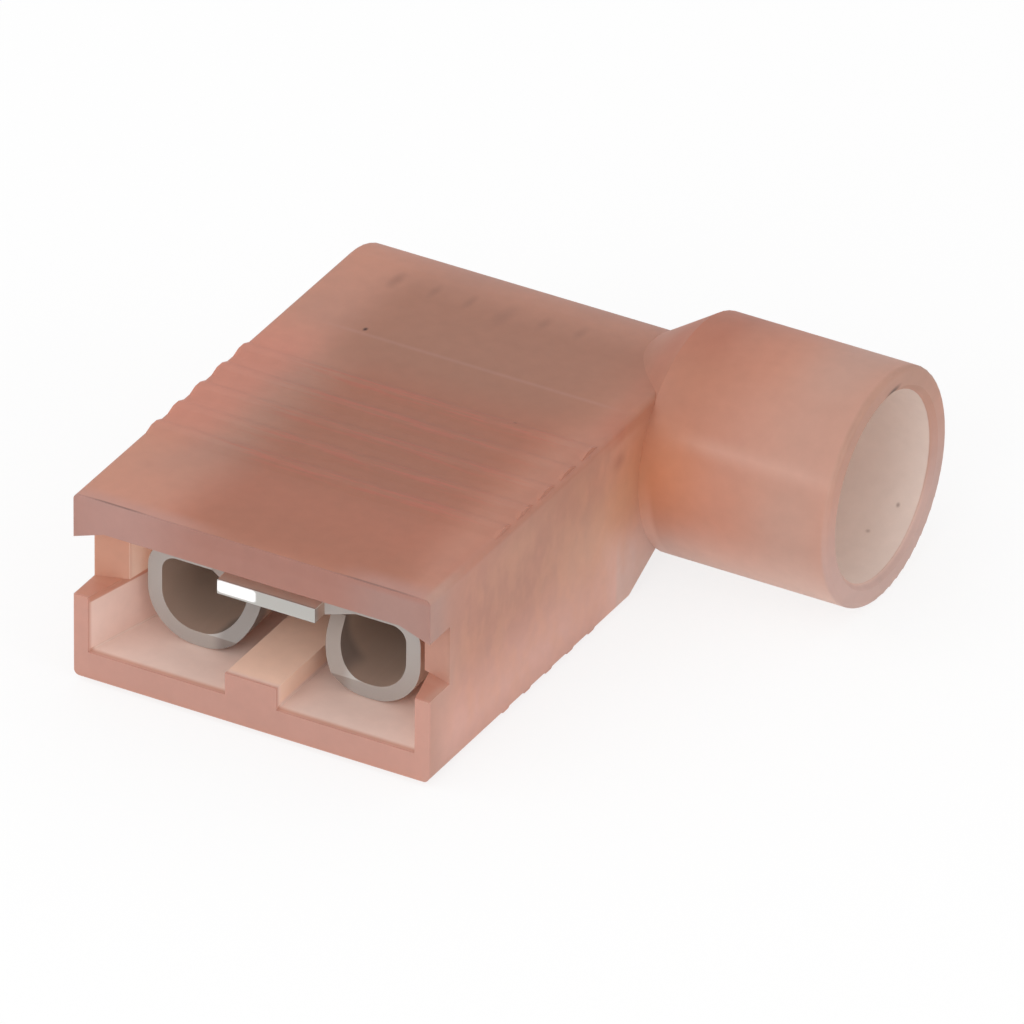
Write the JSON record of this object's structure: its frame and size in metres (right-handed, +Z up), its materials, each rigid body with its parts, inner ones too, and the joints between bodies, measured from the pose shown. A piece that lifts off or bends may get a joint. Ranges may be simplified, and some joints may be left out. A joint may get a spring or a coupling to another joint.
{
  "type": "female spade terminal",
  "caption": "Right-angle female spade terminal: folded receptacle in a translucent nylon housing with a side wire tube.",
  "frame": {"origin": "centre of the bounding box at its bottom, where the grip ridges and the wire tube stand", "axes": "+X along the wire tube, out of its mouth; -Y out of the mouth that takes the tab; +Z up, the thin way through the box"},
  "size_m": [0.0152, 0.0166, 0.0062],
  "materials": {
    "nylon": "semi-gloss translucent pink moulded nylon",
    "tin_plate": "bright tin plate over brass strip"
  },
  "bodies": {
    "root": {"housing": "nylon", "contact": "tin_plate"}
  },
  "joints": []
}
